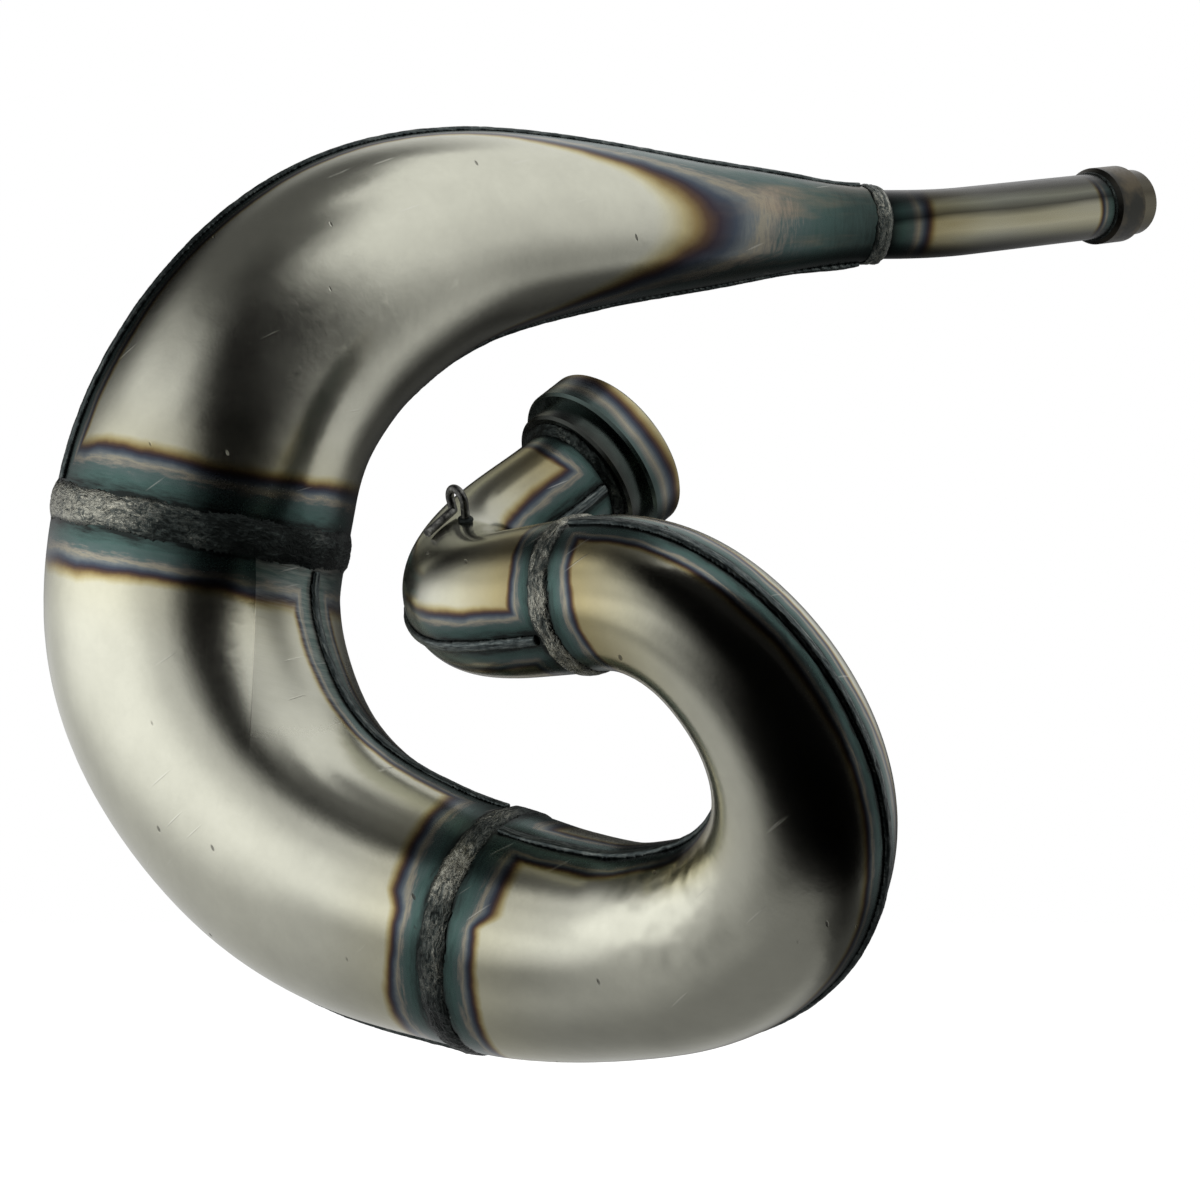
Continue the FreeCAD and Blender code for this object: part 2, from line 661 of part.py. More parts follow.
def cut(name, base, tool):
    """Trims one shape where another stands."""
    trimmed = doc.addObject("Part::Cut", name)
    trimmed.Label = name
    trimmed.Base = doc.getObject(base)
    trimmed.Tool = doc.getObject(tool)
    return trimmed


# The hook and its weld are trimmed to the header's surface, and the weld to the hook.
nodes.append(cut("spring_hook", "hook_wire", "header_shell_upper"))
cut("hook_lump_on_sheet", "hook_weld_lump", "header_shell_upper")
nodes.append(cut("spring_hook_weld", "hook_lump_on_sheet", "spring_hook"))
doc.recompute()

for thing in doc.Objects:
    if "Invalid" in thing.State or "Error" in thing.State:
        raise RuntimeError("%s is %s" % (thing.Name, thing.State))

os.makedirs("parts", exist_ok=True)
for node in nodes:
    shape = node.Shape
    if shape.isNull() or not shape.isValid() or len(shape.Solids) != 1:
        raise RuntimeError("%s has no single valid solid" % node.Label)
    shape.exportStep("parts/%s.step" % node.Label)
    box = shape.BoundBox
    print("%-28s %8.0f mm3  %5.0f x %4.0f x %4.0f" % (node.Label, shape.Volume, box.XLength, box.YLength, box.ZLength))
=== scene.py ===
# %% [markdown]
# # A two-stroke exhaust pipe
# The pipe is pressed from raw steel sheet: four sections in half shells, welded along their edges and
# to one another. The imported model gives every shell, collar and weld. This lesson adds what the eye
# sees first on such a pipe: the satin of the steel, the colours that the heat of welding left in it,
# and the rough beads of the welds themselves.

import math

import bmesh
import bpy
import numpy as np
from mathutils import Matrix, Vector, noise
from mathutils.bvhtree import BVHTree


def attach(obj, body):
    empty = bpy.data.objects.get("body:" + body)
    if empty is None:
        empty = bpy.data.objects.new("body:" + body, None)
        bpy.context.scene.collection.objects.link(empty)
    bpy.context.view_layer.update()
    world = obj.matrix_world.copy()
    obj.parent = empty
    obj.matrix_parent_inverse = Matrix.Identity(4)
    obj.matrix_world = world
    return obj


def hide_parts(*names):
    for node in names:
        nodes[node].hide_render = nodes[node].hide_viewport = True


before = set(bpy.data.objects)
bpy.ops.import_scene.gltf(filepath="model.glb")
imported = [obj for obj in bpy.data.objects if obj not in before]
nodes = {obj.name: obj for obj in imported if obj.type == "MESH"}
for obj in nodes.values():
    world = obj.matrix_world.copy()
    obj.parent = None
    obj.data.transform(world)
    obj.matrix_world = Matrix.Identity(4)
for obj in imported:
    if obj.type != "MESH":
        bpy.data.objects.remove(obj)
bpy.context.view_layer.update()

# %% [markdown]
# The camera comes first, because every finish is judged from where the photograph was taken. It looks
# level along +Y from about 1.24 m away, through a long lens: 3472 pixels of focal length on a frame
# 1200 pixels wide is 104 mm on a 36 mm sensor.

# %% Camera
FOCAL_PIXELS = 3471.5
FRAME_PIXELS = 1200
SENSOR_WIDTH = 36
CAMERA_PLACE = (-0.00579, -1.24407, -0.05465)

camera_data = bpy.data.cameras.new("camera")
camera_data.sensor_width = SENSOR_WIDTH
camera_data.lens = SENSOR_WIDTH * FOCAL_PIXELS / FRAME_PIXELS
camera = bpy.data.objects.new("camera", camera_data)
camera.location = CAMERA_PLACE
camera.rotation_euler = (math.radians(90), 0, 0)
bpy.context.scene.collection.objects.link(camera)
bpy.context.scene.camera = camera
print("lens", round(camera_data.lens, 1), "mm")

# %% [markdown]
# The finishes need to know where the welds are. Each weld is a node of the frame, so its place is
# read from there: a ring weld lies in a plane across the pipe, and the two seam welds of a section
# lie in the flat plane in which its half shells meet. A plane through points is found from their
# spread, whose narrowest direction is the plane's normal.

# %% Planes of the welds
def points_of(*names):
    """The places of all vertices of some nodes."""
    found = []
    for name in names:
        mesh = nodes[name].data
        flat = np.empty(len(mesh.vertices) * 3)
        mesh.vertices.foreach_get("co", flat)
        found.append(flat.reshape(-1, 3))
    return np.concatenate(found)


def plane_through(*names):
    """Middle and normal of the plane in which some nodes lie, and how far they reach from both."""
    points = points_of(*names)
    middle = points.mean(axis=0)
    normal = np.linalg.svd(points - middle, full_matrices=False)[2][2]
    radius = np.linalg.norm(points - middle, axis=1).max()
    half_width = np.abs((points - middle) @ normal).max()
    return {"middle": Vector(middle), "axis": Vector(normal), "radius": radius, "half_width": half_width}


RINGS = {}
for name in ("inlet", "header", "belly_front", "belly_rear", "outlet", "end_collar"):
    RINGS[name] = plane_through("ring_weld_" + name)
    print("ring weld", name, "radius", round(RINGS[name]["radius"], 4))

SECTIONS = {
    "header": ("inlet", "header"),
    "diffuser": ("header", "belly_front"),
    "belly": ("belly_front", "belly_rear"),
    "rear_cone": ("belly_rear", "outlet"),
}
PARTINGS = {}
for name in SECTIONS:
    PARTINGS[name] = plane_through("seam_weld_%s_inner" % name, "seam_weld_%s_outer" % name)
    print("parting plane", name, [round(v, 3) for v in PARTINGS[name]["axis"]])

# %% [markdown]
# Materials are written as sums. A `Field` stands for a number or a colour that varies over the
# surface, so `1 - mask` or `depth * 0.5` reads as it would on paper, and each operation adds the
# node that does it. A `Recipe` is one material, and its `node` method adds any other node.

# %% A small language for materials
class Field:
    """A varying value in a material, which Python's own operators can work with."""

    def __init__(self, recipe, socket):
        self.recipe = recipe
        self.socket = socket

    def __add__(self, other):
        return self.recipe.maths("ADD", self, other)

    def __radd__(self, other):
        return self.recipe.maths("ADD", other, self)

    def __sub__(self, other):
        return self.recipe.maths("SUBTRACT", self, other)

    def __rsub__(self, other):
        return self.recipe.maths("SUBTRACT", other, self)

    def __mul__(self, other):
        return self.recipe.maths("MULTIPLY", self, other)

    def __rmul__(self, other):
        return self.recipe.maths("MULTIPLY", other, self)

    def __truediv__(self, other):
        return self.recipe.maths("DIVIDE", self, other)

    def __pow__(self, other):
        return self.recipe.maths("POWER", self, other)

    def __abs__(self):
        return self.recipe.maths("ABSOLUTE", self)

    def blend_max(self, other, softness):
        """The larger of two values, rounded off where they cross."""
        return self.recipe.maths("SMOOTH_MAX", self, other, softness)

    def ease(self, low, high, to_low=0.0, to_high=1.0):
        """Eases from one value to another between two limits."""
        limits = {0: self, 1: low, 2: high, 3: to_low, 4: to_high}
        return self.recipe.node("MapRange", {"interpolation_type": "SMOOTHSTEP"}, limits)

    def fit(self, low, high, to_low=0.0, to_high=1.0):
        """Runs straight from one value to another between two limits."""
        limits = {0: self, 1: low, 2: high, 3: to_low, 4: to_high}
        return self.recipe.node("MapRange", {"clamp": True}, limits)

    def beside(self, output):
        """Another output of the same node."""
        return Field(self.recipe, self.socket.node.outputs[output])


class Recipe:
    """The nodes of one material, or of the world."""

    def __init__(self, owner):
        self.owner = owner
        owner.use_nodes = True
        self.tree = owner.node_tree
        self.tree.nodes.clear()
        self.place = self.node("TexCoord", output="Object")

    def node(self, kind, settings=None, inputs=None, output=0):
        """Adds a node, sets it up and links or sets its inputs."""
        made = self.tree.nodes.new("ShaderNode" + kind)
        for key, amount in (settings or {}).items():
            if key == "stops":
                self.set_stops(made.color_ramp, amount)
            else:
                setattr(made, key, amount)
        for key, amount in (inputs or {}).items():
            if isinstance(amount, Field):
                self.tree.links.new(amount.socket, made.inputs[key])
            else:
                made.inputs[key].default_value = amount
        return Field(self, made.outputs[output] if made.outputs else None)

    def set_stops(self, ramp, stops):
        ramp.elements.remove(ramp.elements[-1])
        ramp.elements[0].position = stops[0][0]
        ramp.elements[0].color = (*stops[0][1], 1)
        for position, colour in stops[1:]:
            ramp.elements.new(position).color = (*colour, 1)

    def maths(self, operation, *values):
        return self.node("Math", {"operation": operation}, dict(enumerate(values)))

    def along(self, origin, axis):
        """Signed distance from a plane."""
        arm = self.node("VectorMath", {"operation": "SUBTRACT"}, {0: self.place, 1: tuple(origin)})
        return self.node("VectorMath", {"operation": "DOT_PRODUCT"}, {0: arm, 1: tuple(axis)}, "Value")

    def away(self, origin):
        """Distance from a point."""
        ends = {0: self.place, 1: tuple(origin)}
        return self.node("VectorMath", {"operation": "DISTANCE"}, ends, "Value")

    def from_plane(self, plane):
        """Distance from the plane of a weld, on either side."""
        return abs(self.along(plane["middle"], plane["axis"]))

    def squeezed(self, origin, axis, times):
        """Places squeezed along an axis, so that noise drawn on them runs in fibres across it.

        With less than 1 time they are stretched, and the fibres run along the axis.
        """
        push = self.along(origin, axis) * (times - 1)
        shift = self.node("VectorMath", {"operation": "SCALE"}, {0: tuple(axis), "Scale": push})
        return self.node("VectorMath", {"operation": "ADD"}, {0: self.place, 1: shift})

    def fibres(self, plane, times):
        """Places for noise that runs in fibres along a weld."""
        return self.squeezed(plane["middle"], plane["axis"], times)

    def grain(self, scale, detail=2.0, roughness=0.5, place=None, swirl=0.0):
        """Soft noise between 0 and 1. A scale of 100 has features of about 10 mm."""
        inputs = {"Vector": place or self.place, "Scale": scale, "Detail": detail, "Roughness": roughness}
        inputs["Distortion"] = swirl
        return self.node("TexNoise", {"noise_dimensions": "3D"}, inputs)

    def ramp(self, stops, value):
        """The colour that a value has on a row of stops."""
        return self.node("ValToRGB", {"stops": stops}, {0: value})

    def mix(self, share, first, second, blend_type="MIX"):
        """Mixes two colours."""
        inputs = {0: share, 6: self.colour(first), 7: self.colour(second)}
        return self.node("Mix", {"data_type": "RGBA", "blend_type": blend_type}, inputs, 2)

    def shaded(self, tint, level):
        """A colour made darker or lighter by a number."""
        return self.mix(1.0, tint, self.grey(level), "MULTIPLY")

    def grey(self, level):
        return self.node("CombineColor", {"mode": "RGB"}, {0: level, 1: level, 2: level})

    def colour(self, value):
        return value if isinstance(value, Field) else (*value, 1)

    def bump(self, height, distance, strength=1.0, under=None):
        """Lets the light fall as if the surface rose by some distance where the height is 1."""
        inputs = {"Height": height, "Distance": distance, "Strength": strength}
        if under is not None:
            inputs["Normal"] = under
        return self.node("Bump", None, inputs)

    def metal(self, colour, roughness, normal=None):
        """Closes the recipe with a bare metal surface."""
        inputs = {"Base Color": self.colour(colour), "Metallic": 1.0, "Roughness": roughness}
        if normal is not None:
            inputs["Normal"] = normal
        return self.close(self.node("BsdfPrincipled", None, inputs))

    def close(self, surface, kind="Material"):
        self.node("Output" + kind, None, {"Surface": surface})
        return self.owner


def recipe_for(name):
    return Recipe(bpy.data.materials.new(name))


# %% [markdown]
# Steel that has been hot keeps a thin oxide film, and the film's thickness decides its colour. From
# cold to hot the order on this pipe is the same at every weld: bare steel, straw, gold, brown, purple,
# dark blue, a pale band, then blue-green next to the bead. So one number, the heat that a place has
# seen, is enough for every band on the pipe, and a colour ramp turns it into the tint.

# %% The temper colours
BARE_STEEL = (0.61, 0.615, 0.54)
TEMPER = [
    (0.00, BARE_STEEL),
    (0.08, (0.60, 0.58, 0.43)),
    (0.16, (0.46, 0.40, 0.22)),
    (0.22, (0.27, 0.20, 0.09)),
    (0.27, (0.11, 0.07, 0.045)),
    (0.32, (0.05, 0.04, 0.05)),
    (0.38, (0.065, 0.08, 0.105)),
    (0.44, (0.16, 0.18, 0.185)),
    (0.50, (0.30, 0.28, 0.22)),
    (0.55, (0.21, 0.205, 0.18)),
    (0.62, (0.095, 0.135, 0.13)),
    (0.78, (0.068, 0.118, 0.108)),
    (0.92, (0.045, 0.07, 0.065)),
    (1.00, (0.02, 0.024, 0.023)),
]
STREAK_SQUEEZE = 6.0
STREAK_DEPTH = 0.40


def heat_from(distance, start, reach):
    """Heat left by a weld: 1 at its edge, 0 where the tint ends."""
    return distance.fit(start, start + reach, 1.0, 0.0)


def streaked(recipe, heat, weld):
    """The hot part of a tint broken into fine streaks along its weld."""
    lines = recipe.grain(120.0, detail=4.0, roughness=0.65, place=recipe.fibres(weld, STREAK_SQUEEZE))
    return heat + (lines - 0.5) * heat.ease(0.35, 0.60, 0.0, STREAK_DEPTH)


print(len(TEMPER), "temper colours")

# %% [markdown]
# The bands beside a ring weld aren't even. Their reach swells and shrinks, which slow noise gives, and
# at one place on the belly's front weld, where two passes of welding seem to meet, they jump sideways.
# Some welds also have a faint gold that reaches much further than the bands.

# %% Heat of a ring weld
RING_WAVER = 0.0030
EVEN_SWELL = 0.05
COMMON_SWELL = 0.17
LONG_REACH = 0.05
GOLD = {"inlet": 0.18, "header": 0.20, "belly_front": 0.09, "belly_rear": 0.09, "outlet": 0.0}
GOLD_REACH = 0.062
MEETING = {"belly_front": Vector((-0.0645, -0.0443, -0.1600))}
STEP_SHARE = {"diffuser": 0.26, "belly": 0.10}


def stepped(recipe, pace, section, ring):
    """A tint's pace with the jump at the place where two passes of its weld meet."""
    weld = RINGS[ring]
    meeting = MEETING[ring]
    share = STEP_SHARE[section]
    onward = weld["axis"].cross(meeting - weld["middle"]).normalized()
    if onward.z < 0:
        onward = -onward
    step = recipe.along(meeting, onward).ease(-0.005, 0.003, 1.0 - share, 1.0 + share * 0.4)
    pinch = recipe.away(meeting).ease(0.004, 0.016, 0.82, 1.0)
    return pace * step * pinch


def ring_heat(recipe, section, ring, reach):
    """Heat that one ring weld left in one section."""
    weld = RINGS[ring]
    waver = (recipe.grain(85.0, detail=3.0) - 0.5) * RING_WAVER
    swell = EVEN_SWELL if reach > LONG_REACH else COMMON_SWELL
    pace = recipe.grain(13.0).fit(0.3, 0.7, 1.0 - swell, 1.0 + swell)
    if ring in MEETING:
        pace = stepped(recipe, pace, section, ring)
    across = recipe.from_plane(weld) + waver
    far = recipe.away(weld["middle"])
    bands_end = weld["radius"] + reach
    gold_end = weld["radius"] + GOLD_REACH
    heat = heat_from(across, weld["half_width"] - 0.001, pace * reach)
    heat = heat * far.ease(bands_end, bands_end + reach, 1.0, 0.0)
    gold = across.ease(0.0, GOLD_REACH, GOLD[ring], 0.0) * far.ease(gold_end, gold_end + 0.02, 1.0, 0.0)
    return streaked(recipe, heat, weld).blend_max(gold, 0.03)


print("ring welds that tint the sheet:", ", ".join(GOLD))

# %% [markdown]
# Bare sheet is never blank. Handling leaves small nicks and bright hair-thin scratches, and the press
# leaves the sheet a little uneven, which shows only in how its reflections sway. Both come from noise:
# nicks are the cells of a stretched cell pattern, of which only some are kept.

# %% Wear of the sheet
NICK_COLOUR = (0.06, 0.055, 0.05)
HAIR_COLOUR = (0.75, 0.74, 0.68)


def marks(recipe, lean, stretch, scale, size, share):
    """Short strokes, 1 on each stroke. Lean is the direction across them, share how many are kept."""
    places = recipe.squeezed((0, 0, 0), Vector(lean).normalized(), stretch)
    cells = recipe.node("TexVoronoi", {"feature": "F1"}, {"Vector": places, "Scale": scale})
    lot = recipe.node("SeparateColor", None, {"Color": cells.beside("Color")})
    return cells.ease(size * 0.5, size, 1.0, 0.0) * lot.fit(1 - share, 1 - share + 0.01)


def sheet_relief(recipe, fine, nicks, hairs):
    """The sheet's small unevenness, from the slow sway of the press to the finest grain."""
    sway = recipe.grain(34.0)
    satin = recipe.grain(340.0, detail=3.0, roughness=0.6)
    normal = recipe.bump(sway, 0.00018, 0.7)
    normal = recipe.bump(satin, 0.00003, 0.6, normal)
    normal = recipe.bump(fine, 0.000006, 0.7, normal)
    return recipe.bump(hairs - nicks * 2.0, 0.00006, 0.8, normal)


print("marks on the sheet: dark nicks and bright hairs")

# %% [markdown]
# The pressed sheet is one recipe with four sets of numbers: how far the tint of the first ring, of the
# last ring and of the seams reaches. The rear cone ends in a long hot stretch, because the outlet
# tube's weld heated the whole tip, so there the seam's own tint widens as well. The diffuser has small
# dents low down on its near side, and the belly has a place beside its inner seam that was brushed.

# %% Pressed steel
REACHES = {
    "header": (0.012, 0.013, 0.0125),
    "diffuser": (0.015, 0.021, 0.0105),
    "belly": (0.021, 0.021, 0.0105),
    "rear_cone": (0.021, 0.105, 0.0095),
}
SEAM_FOOT = 0.0026
SEAM_WAVER = 0.0022
TIP_REACH = 0.22
TIP_SPREAD = 0.024
TIP_BROWN = (0.34, 0.25, 0.17)
TIP_DARK = (0.04, 0.06, 0.055)
HEADER_LEVEL = 0.78
DENTED = (0.020, -0.092, -0.158)
DENT_DEPTH = 0.0016
PATCH_EDGE = (-0.1316, 0.0, -0.115)
PATCH_COLOUR = (0.62, 0.62, 0.55)


def brushed_patch(recipe):
    """The place beside the belly's inner seam that was brushed crosswise. Its left edge is sharp."""
    right = recipe.along(PATCH_EDGE, (1, 0, 0))
    up = recipe.along(PATCH_EDGE, (0, 0, 1))
    front = recipe.along(PATCH_EDGE, (0, 1, 0))
    inside = right.ease(0.0, 0.0004) * right.ease(0.024, 0.040, 1.0, 0.0)
    inside = inside * up.ease(0.0, 0.025) * up.ease(0.080, 0.081, 1.0, 0.0)
    return inside * front.ease(0.075, 0.08, 1.0, 0.0)


def sheet_heat(recipe, section):
    """Heat that a section's seams and its two ring welds left in it."""
    parting = PARTINGS[section]
    first_reach, last_reach, seam_reach = REACHES[section]
    waver = (recipe.grain(70.0, detail=3.0) - 0.5) * SEAM_WAVER
    spread = recipe.grain(11.0).fit(0.3, 0.7, 0.80, 1.20) * seam_reach
    if section == "rear_cone":
        spread = spread + recipe.away(RINGS["outlet"]["middle"]).ease(0.05, TIP_REACH, TIP_SPREAD, 0.0)
    heat = heat_from(recipe.from_plane(parting) + waver, SEAM_FOOT, spread)
    heat = streaked(recipe, heat, parting)
    for ring, reach in zip(SECTIONS[section], (first_reach, last_reach)):
        heat = heat.blend_max(ring_heat(recipe, section, ring, reach), 0.07)
    return heat


def scorched_tip(recipe, tint):
    """The rear cone's tint with brown streaks towards the outlet tube and a dark end."""
    weld = RINGS["outlet"]
    far = recipe.away(weld["middle"])
    streaks = recipe.grain(60.0, detail=4.0, roughness=0.6, place=recipe.fibres(weld, 0.12))
    tint = recipe.mix(streaks.ease(0.46, 0.66) * far.ease(0.03, 0.095, 0.62, 0.0), tint, TIP_BROWN)
    return recipe.mix(far.ease(0.018, 0.050, 0.70, 0.0), tint, TIP_DARK)


def pressed_steel(section):
    """The finish of a section's two half shells."""
    recipe = recipe_for("pressed_steel_" + section)
    heat = sheet_heat(recipe, section)
    tint = recipe.ramp(TEMPER, heat)
    if section == "rear_cone":
        tint = scorched_tip(recipe, tint)
    blotch = recipe.grain(38.0, detail=5.0, roughness=0.65).fit(0.25, 0.75, 0.90, 1.06)
    stain = recipe.grain(9.0, detail=3.0).fit(0.35, 0.7, 1.0, 0.88)
    tint = recipe.shaded(tint, blotch * stain * (HEADER_LEVEL if section == "header" else 1.0))
    nicks = marks(recipe, lean=(0.9, 0.2, 0.4), stretch=3.0, scale=42.0, size=0.075, share=0.44)
    hairs = marks(recipe, lean=(-0.5, 0.3, 0.8), stretch=16.0, scale=26.0, size=0.16, share=0.16)
    tint = recipe.mix(nicks * 0.65, tint, NICK_COLOUR)
    tint = recipe.mix(hairs * 0.22, tint, HAIR_COLOUR)
    fine = recipe.grain(1300.0, detail=3.0, roughness=0.6)
    roughness = recipe.grain(30.0, detail=3.0).fit(0.3, 0.7, 0.17, 0.23) + fine.fit(0.3, 0.7, -0.02, 0.03)
    roughness = roughness + heat * 0.08 + nicks * 0.2
    normal = sheet_relief(recipe, fine, nicks, hairs)
    if section == "diffuser":
        dents = recipe.grain(75.0, detail=1.0) * recipe.away(DENTED).ease(0.012, 0.034, 1.0, 0.0)
        normal = recipe.bump(dents, DENT_DEPTH, 0.8, normal)
    if section == "belly":
        patch = brushed_patch(recipe)
        across = recipe.squeezed((0, 0, 0), (0.25, 0, 0.97), 12.0)
        strokes = recipe.grain(70.0, detail=4.0, roughness=0.7, place=across)
        tint = recipe.mix(patch * strokes.fit(0.4, 0.65, 0.05, 0.22), tint, PATCH_COLOUR)
        roughness = roughness + patch * 0.13
        normal = recipe.bump(strokes * patch, 0.00006, 0.6, normal)
    return recipe.metal(tint, roughness, normal)


def dress(material, *names):
    """Gives some nodes of the frame their finish."""
    for name in names:
        data = nodes[name].data
        data.materials.clear()
        data.materials.append(material)
    print(material.name, "on", ", ".join(names))


for section in SECTIONS:
    dress(pressed_steel(section), section + "_shell_upper", section + "_shell_lower")

# %% [markdown]
# The turned collar's tint follows the distance from its weld along the axis. The outlet tube has bands
# beside both its welds and streaks of straw, strongest near the first weld. It keeps the long streaks of
# its drawing, so its noise is stretched along the axis. Over that, painted reflection bands lie at set
# heights around the tube: dark at the bottom and top, with painted highlights between. The stretch beyond
# the end collar is browned.

# %% Collar, tube and hook
SOOT = (0.075, 0.08, 0.072)
DRIFT = 0.008
# Painted reflection: brightness by height around the tube, from bottom to top, with painted highlights
# between dark bands.
TUBE_REFLECTION_BANDS = [
    (0.00, (0.06, 0.06, 0.06)),
    (0.12, (0.20, 0.20, 0.20)),
    (0.24, (0.38, 0.38, 0.37)),
    (0.36, (0.58, 0.57, 0.54)),
    (0.52, (0.46, 0.45, 0.42)),
    (0.62, (0.10, 0.10, 0.10)),
    (0.74, (0.26, 0.27, 0.27)),
    (0.86, (0.08, 0.08, 0.08)),
    (1.00, (0.05, 0.05, 0.05)),
]
TUBE_RADIUS = 0.014
BROWNED = (0.060, 0.052, 0.036)
WIRE_DARK = (0.06, 0.06, 0.057)
WIRE_BRIGHT = (0.20, 0.20, 0.185)


def turned_collar():
    """The inlet collar's finish."""
    recipe = recipe_for("turned_collar")
    weld = RINGS["inlet"]
    drift = (recipe.grain(22.0, detail=3.0) - 0.5) * DRIFT
    heat = heat_from(recipe.from_plane(weld) + drift, 0.003, 0.0235)
    tint = recipe.ramp(TEMPER, heat)
    tint = recipe.mix(heat.ease(0.55, 0.80) * 0.65, tint, SOOT)
    tint = recipe.shaded(tint, recipe.grain(60.0, detail=4.0, roughness=0.6).fit(0.3, 0.7, 0.66, 1.0))
    turning = recipe.grain(300.0, detail=3.0, roughness=0.6, place=recipe.fibres(weld, 6.0))
    return recipe.metal(tint, turning.fit(0.3, 0.7, 0.20, 0.32), recipe.bump(turning, 0.00002, 0.7))


def drawn_tube():
    """The outlet tube's finish."""
    recipe = recipe_for("drawn_tube")
    weld = RINGS["outlet"]
    stop = RINGS["end_collar"]
    drift = (recipe.grain(30.0, detail=3.0) - 0.5) * DRIFT
    heat = heat_from(recipe.from_plane(weld) + drift, 0.004, 0.025)
    heat = heat.blend_max(heat_from(recipe.from_plane(stop) + drift * 0.5, 0.0, 0.012), 0.05)
    drawn = recipe.squeezed(weld["middle"], stop["axis"], 0.12)
    streaks = recipe.grain(70.0, detail=3.0, place=drawn)
    straw = streaks.fit(0.3, 0.7, 0.01, 0.09) + recipe.away(weld["middle"]).ease(0.025, 0.062, 0.11, 0.0)
    tint = recipe.ramp(TEMPER, heat.blend_max(straw, 0.05))
    upwards = (Vector((0, 0, 1)) - stop["axis"] * stop["axis"].z).normalized()
    height = recipe.along(stop["middle"], upwards) + (streaks - 0.5) * 0.006
    # Painted reflection bands, laid on by height around the tube and multiplied into the tint.
    bands = recipe.ramp(TUBE_REFLECTION_BANDS, height.fit(-TUBE_RADIUS, TUBE_RADIUS))
    tint = recipe.mix(1.0, tint, bands, "MULTIPLY")
    outward = stop["axis"] * math.copysign(1.0, stop["axis"].dot(stop["middle"] - weld["middle"]))
    beyond = recipe.along(stop["middle"], outward).ease(0.012, 0.020)
    tint = recipe.mix(beyond * 0.85, tint, BROWNED)
    fine = recipe.grain(900.0, detail=3.0, roughness=0.6, place=drawn)
    return recipe.metal(tint, fine.fit(0.3, 0.7, 0.20, 0.32), recipe.bump(fine, 0.00001, 0.7))


def browned_collar():
    """The end collar's finish: patchy brown, darker at the weld, and lighter at the far rim as a painted
    highlight.
    """
    recipe = recipe_for("browned_collar")
    across = recipe.from_plane(RINGS["end_collar"])
    patches = recipe.grain(55.0, detail=4.0, roughness=0.6)
    tint = recipe.mix(patches.ease(0.38, 0.62), (0.028, 0.028, 0.024), (0.085, 0.07, 0.046))
    tint = recipe.mix(across.ease(0.0005, 0.006, 0.85, 0.0), tint, (0.02, 0.02, 0.018))
    # Painted highlight: a lighter band along the collar's far rim.
    tint = recipe.mix(across.ease(0.0165, 0.0185) * 0.5, tint, (0.14, 0.11, 0.07))
    fine = recipe.grain(700.0, detail=3.0)
    return recipe.metal(tint, fine.fit(0.3, 0.7, 0.28, 0.42), recipe.bump(fine, 0.00002, 0.7))


def dark_wire():
    """The spring hook's finish."""
    recipe = recipe_for("dark_wire")
    fine = recipe.grain(500.0, detail=4.0, roughness=0.6)
    tint = recipe.mix(fine.ease(0.42, 0.68), WIRE_DARK, WIRE_BRIGHT)
    return recipe.metal(tint, fine.fit(0.3, 0.7, 0.26, 0.42), recipe.bump(fine, 0.00004, 0.7))


dress(turned_collar(), "inlet_collar")
dress(drawn_tube(), "outlet_tube")
dress(browned_collar(), "outlet_end_collar")
dress(dark_wire(), "spring_hook")

# %% [markdown]
# The beads are the roughest thing on the pipe: metal that melted, rippled and froze. Each starts as a
# copy of the weld in the frame. A voxel remesh gives it an even skin, its edges are made to wander,
# and every vertex is then moved along its normal by noise. What faces the sheet is pushed into it, so
# no gap shows under the foot. A ring weld's edges are pressed down as well, because melted metal runs
# out thin.

# %% Weld beads
SHELLS = [section + side for section in SECTIONS for side in ("_shell_upper", "_shell_lower")]
CARRIERS = SHELLS + ["inlet_collar", "outlet_tube", "outlet_end_collar"]
MERGED = 0.00002
FOOT_DEPTH = 0.0003
FOOT_SEARCH = 0.0026
SEATED = 0.0003
FACING_SHEET = 0.6
EDGE_START = 0.45
MOST_PRESSED = 0.95
SLOW_SWING = 55.0
QUICK_SWING = 120.0
LUMP_SCALE = 130.0
THREAD_SCALE = 330.0
THREAD_SQUEEZE = 2.2


def carrier_tree(names):
    """One search tree over the faces of all the sheet metal."""
    corners, faces = [], []
    for name in names:
        mesh = nodes[name].data
        start = len(corners)
        corners.extend(vertex.co.copy() for vertex in mesh.vertices)
        faces.extend([start + index for index in face.vertices] for face in mesh.polygons)
    print("sheet metal to seat the beads on:", len(faces), "faces")
    return BVHTree.FromPolygons(corners, faces)


SHEET = carrier_tree(CARRIERS)


def even_skin(name, voxel):
    """A copy of a weld with an even skin of small faces."""
    made = bpy.data.objects.new(name + "_bead", nodes[name].data.copy())
    bpy.context.scene.collection.objects.link(made)
    work = bmesh.new()
    work.from_mesh(made.data)
    bmesh.ops.remove_doubles(work, verts=work.verts, dist=MERGED)
    work.to_mesh(made.data)
    work.free()
    remesh = made.modifiers.new("even_skin", "REMESH")
    remesh.mode = "VOXEL"
    remesh.voxel_size = voxel
    bpy.context.view_layer.update()
    evaluated = made.evaluated_get(bpy.context.evaluated_depsgraph_get())
    skin = bpy.data.meshes.new_from_object(evaluated)
    made.modifiers.clear()
    made.data = skin
    skin.materials.clear()
    return made


def wandered(place, axis, side, wander):
    """A vertex moved across its weld, both edges together and each a little by itself."""
    swing = noise.noise(place * SLOW_SWING) + math.copysign(0.6, side) * noise.noise(place * QUICK_SWING)
    return place + axis * (wander * swing)


def rise(place, axis, side, lump, fibre):
    """How far a vertex is raised: by round lumps, and by threads along the weld."""
    drawn = place + axis * (side * THREAD_SQUEEZE)
    rough = noise.fractal(place * LUMP_SCALE, 1.0, 2.0, 3)
    threads = noise.noise(drawn * THREAD_SCALE)
    return lump * rough + fibre * threads


